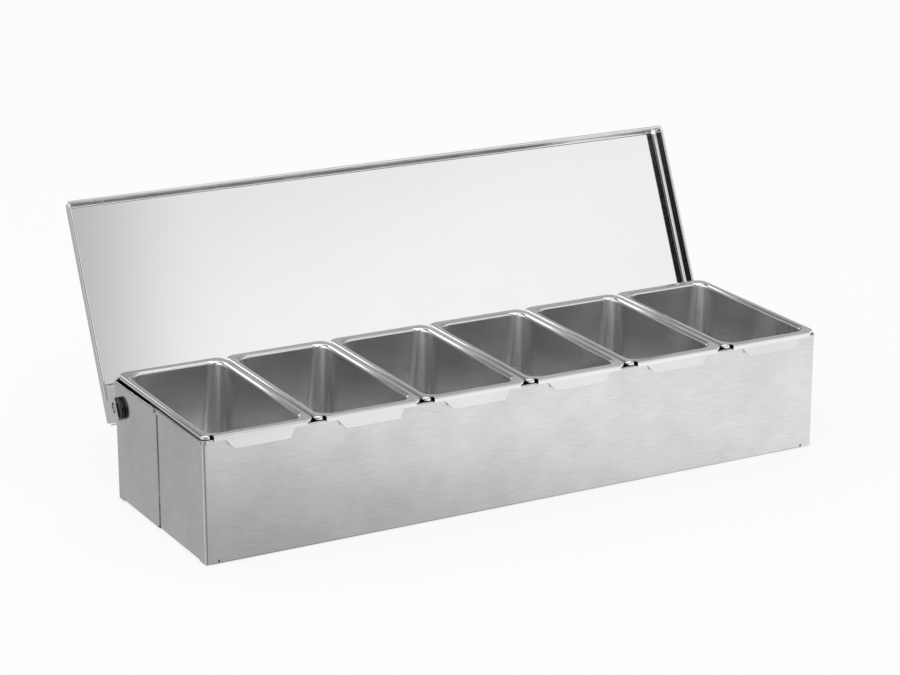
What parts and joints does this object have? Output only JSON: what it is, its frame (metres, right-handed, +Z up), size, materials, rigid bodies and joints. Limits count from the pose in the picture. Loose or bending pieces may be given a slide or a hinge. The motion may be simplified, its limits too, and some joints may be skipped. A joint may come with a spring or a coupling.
{
  "type": "topping station",
  "caption": "Long countertop holder with a row of lift-out deep metal pans hung by their rims in a folded sheet housing, under a one-piece lid hinged at the back.",
  "frame": {"origin": "middle of the base plate's underside, on the surface the station stands on", "axes": "+X along the row of pans to the right, -Y the front with the pans' tabs, +Y the hinge side, +Z up"},
  "size_m": [0.4948, 0.2285, 0.1974],
  "materials": {
    "front_shell_metal": "stainless brushed along its length",
    "rear_shell_metal": "stainless brushed along its length",
    "base_plate_metal": "stainless brushed along its length",
    "lid_metal": "bright, nearly mirror-like stainless sheet",
    "pan_metal": "satin drawn stainless",
    "pivot_stud_left_metal": "bright turned stainless",
    "spacer_left_metal": "satin black nylon",
    "pivot_washer_left_metal": "bright turned stainless",
    "pivot_nut_left_metal": "bright turned stainless",
    "pivot_stud_right_metal": "bright turned stainless",
    "spacer_right_metal": "satin black nylon",
    "pivot_washer_right_metal": "bright turned stainless",
    "pivot_nut_right_metal": "bright turned stainless"
  },
  "bodies": {
    "housing": {"front_shell": "front_shell_metal", "rear_shell": "rear_shell_metal", "base_plate": "base_plate_metal", "pivot_stud_left": "pivot_stud_left_metal", "pivot_washer_left": "pivot_washer_left_metal", "pivot_nut_left": "pivot_nut_left_metal", "pivot_stud_right": "pivot_stud_right_metal", "pivot_washer_right": "pivot_washer_right_metal", "pivot_nut_right": "pivot_nut_right_metal"},
    "lid_body": {"lid": "lid_metal", "spacer_left": "spacer_left_metal", "spacer_right": "spacer_right_metal"},
    "pan_body_1": {"pan_1": "pan_metal"},
    "pan_body_2": {"pan_2": "pan_metal"},
    "pan_body_3": {"pan_3": "pan_metal"},
    "pan_body_4": {"pan_4": "pan_metal"},
    "pan_body_5": {"pan_5": "pan_metal"},
    "pan_body_6": {"pan_6": "pan_metal"}
  },
  "joints": [
    {"name": "lid_hinge", "type": "hinge", "parent": "housing", "child": "lid_body", "pos_m": [0, 0.0665, 0.0692], "axis": [-1, 0, 0], "range_deg": [-114, 0]},
    {"name": "pan_1_lift", "type": "slide", "parent": "housing", "child": "pan_body_1", "axis": [0, 0, 1], "range_m": [0, 0.11]},
    {"name": "pan_2_lift", "type": "slide", "parent": "housing", "child": "pan_body_2", "axis": [0, 0, 1], "range_m": [0, 0.11]},
    {"name": "pan_3_lift", "type": "slide", "parent": "housing", "child": "pan_body_3", "axis": [0, 0, 1], "range_m": [0, 0.11]},
    {"name": "pan_4_lift", "type": "slide", "parent": "housing", "child": "pan_body_4", "axis": [0, 0, 1], "range_m": [0, 0.11]},
    {"name": "pan_5_lift", "type": "slide", "parent": "housing", "child": "pan_body_5", "axis": [0, 0, 1], "range_m": [0, 0.11]},
    {"name": "pan_6_lift", "type": "slide", "parent": "housing", "child": "pan_body_6", "axis": [0, 0, 1], "range_m": [0, 0.11]}
  ]
}
